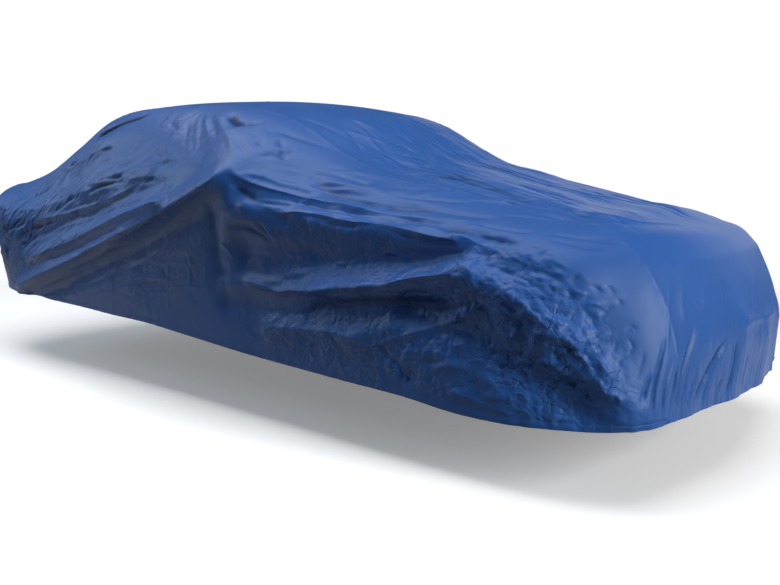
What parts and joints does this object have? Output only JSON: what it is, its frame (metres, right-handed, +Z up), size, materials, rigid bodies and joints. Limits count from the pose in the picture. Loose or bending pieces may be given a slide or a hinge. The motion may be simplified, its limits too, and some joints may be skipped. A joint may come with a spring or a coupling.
{
  "type": "car cover",
  "caption": "Fitted saloon car cover of deep blue coated fabric, drawn over roof, bonnet and tail, pulled out at the sides, with an elasticated hem.",
  "frame": {"origin": "on the underside of the cloth at the middle of the roof zone, where the roof of a car holds it up", "axes": "+X toward the front end, +Y toward the far side, +Z up"},
  "size_m": [4.5224, 2.0045, 1.2007],
  "materials": {
    "coated_fabric": "semi-gloss coated woven polyester, deep blue"
  },
  "bodies": {
    "root": {"side_panel_near": "coated_fabric", "top_panel": "coated_fabric", "side_panel_far": "coated_fabric"}
  },
  "joints": []
}
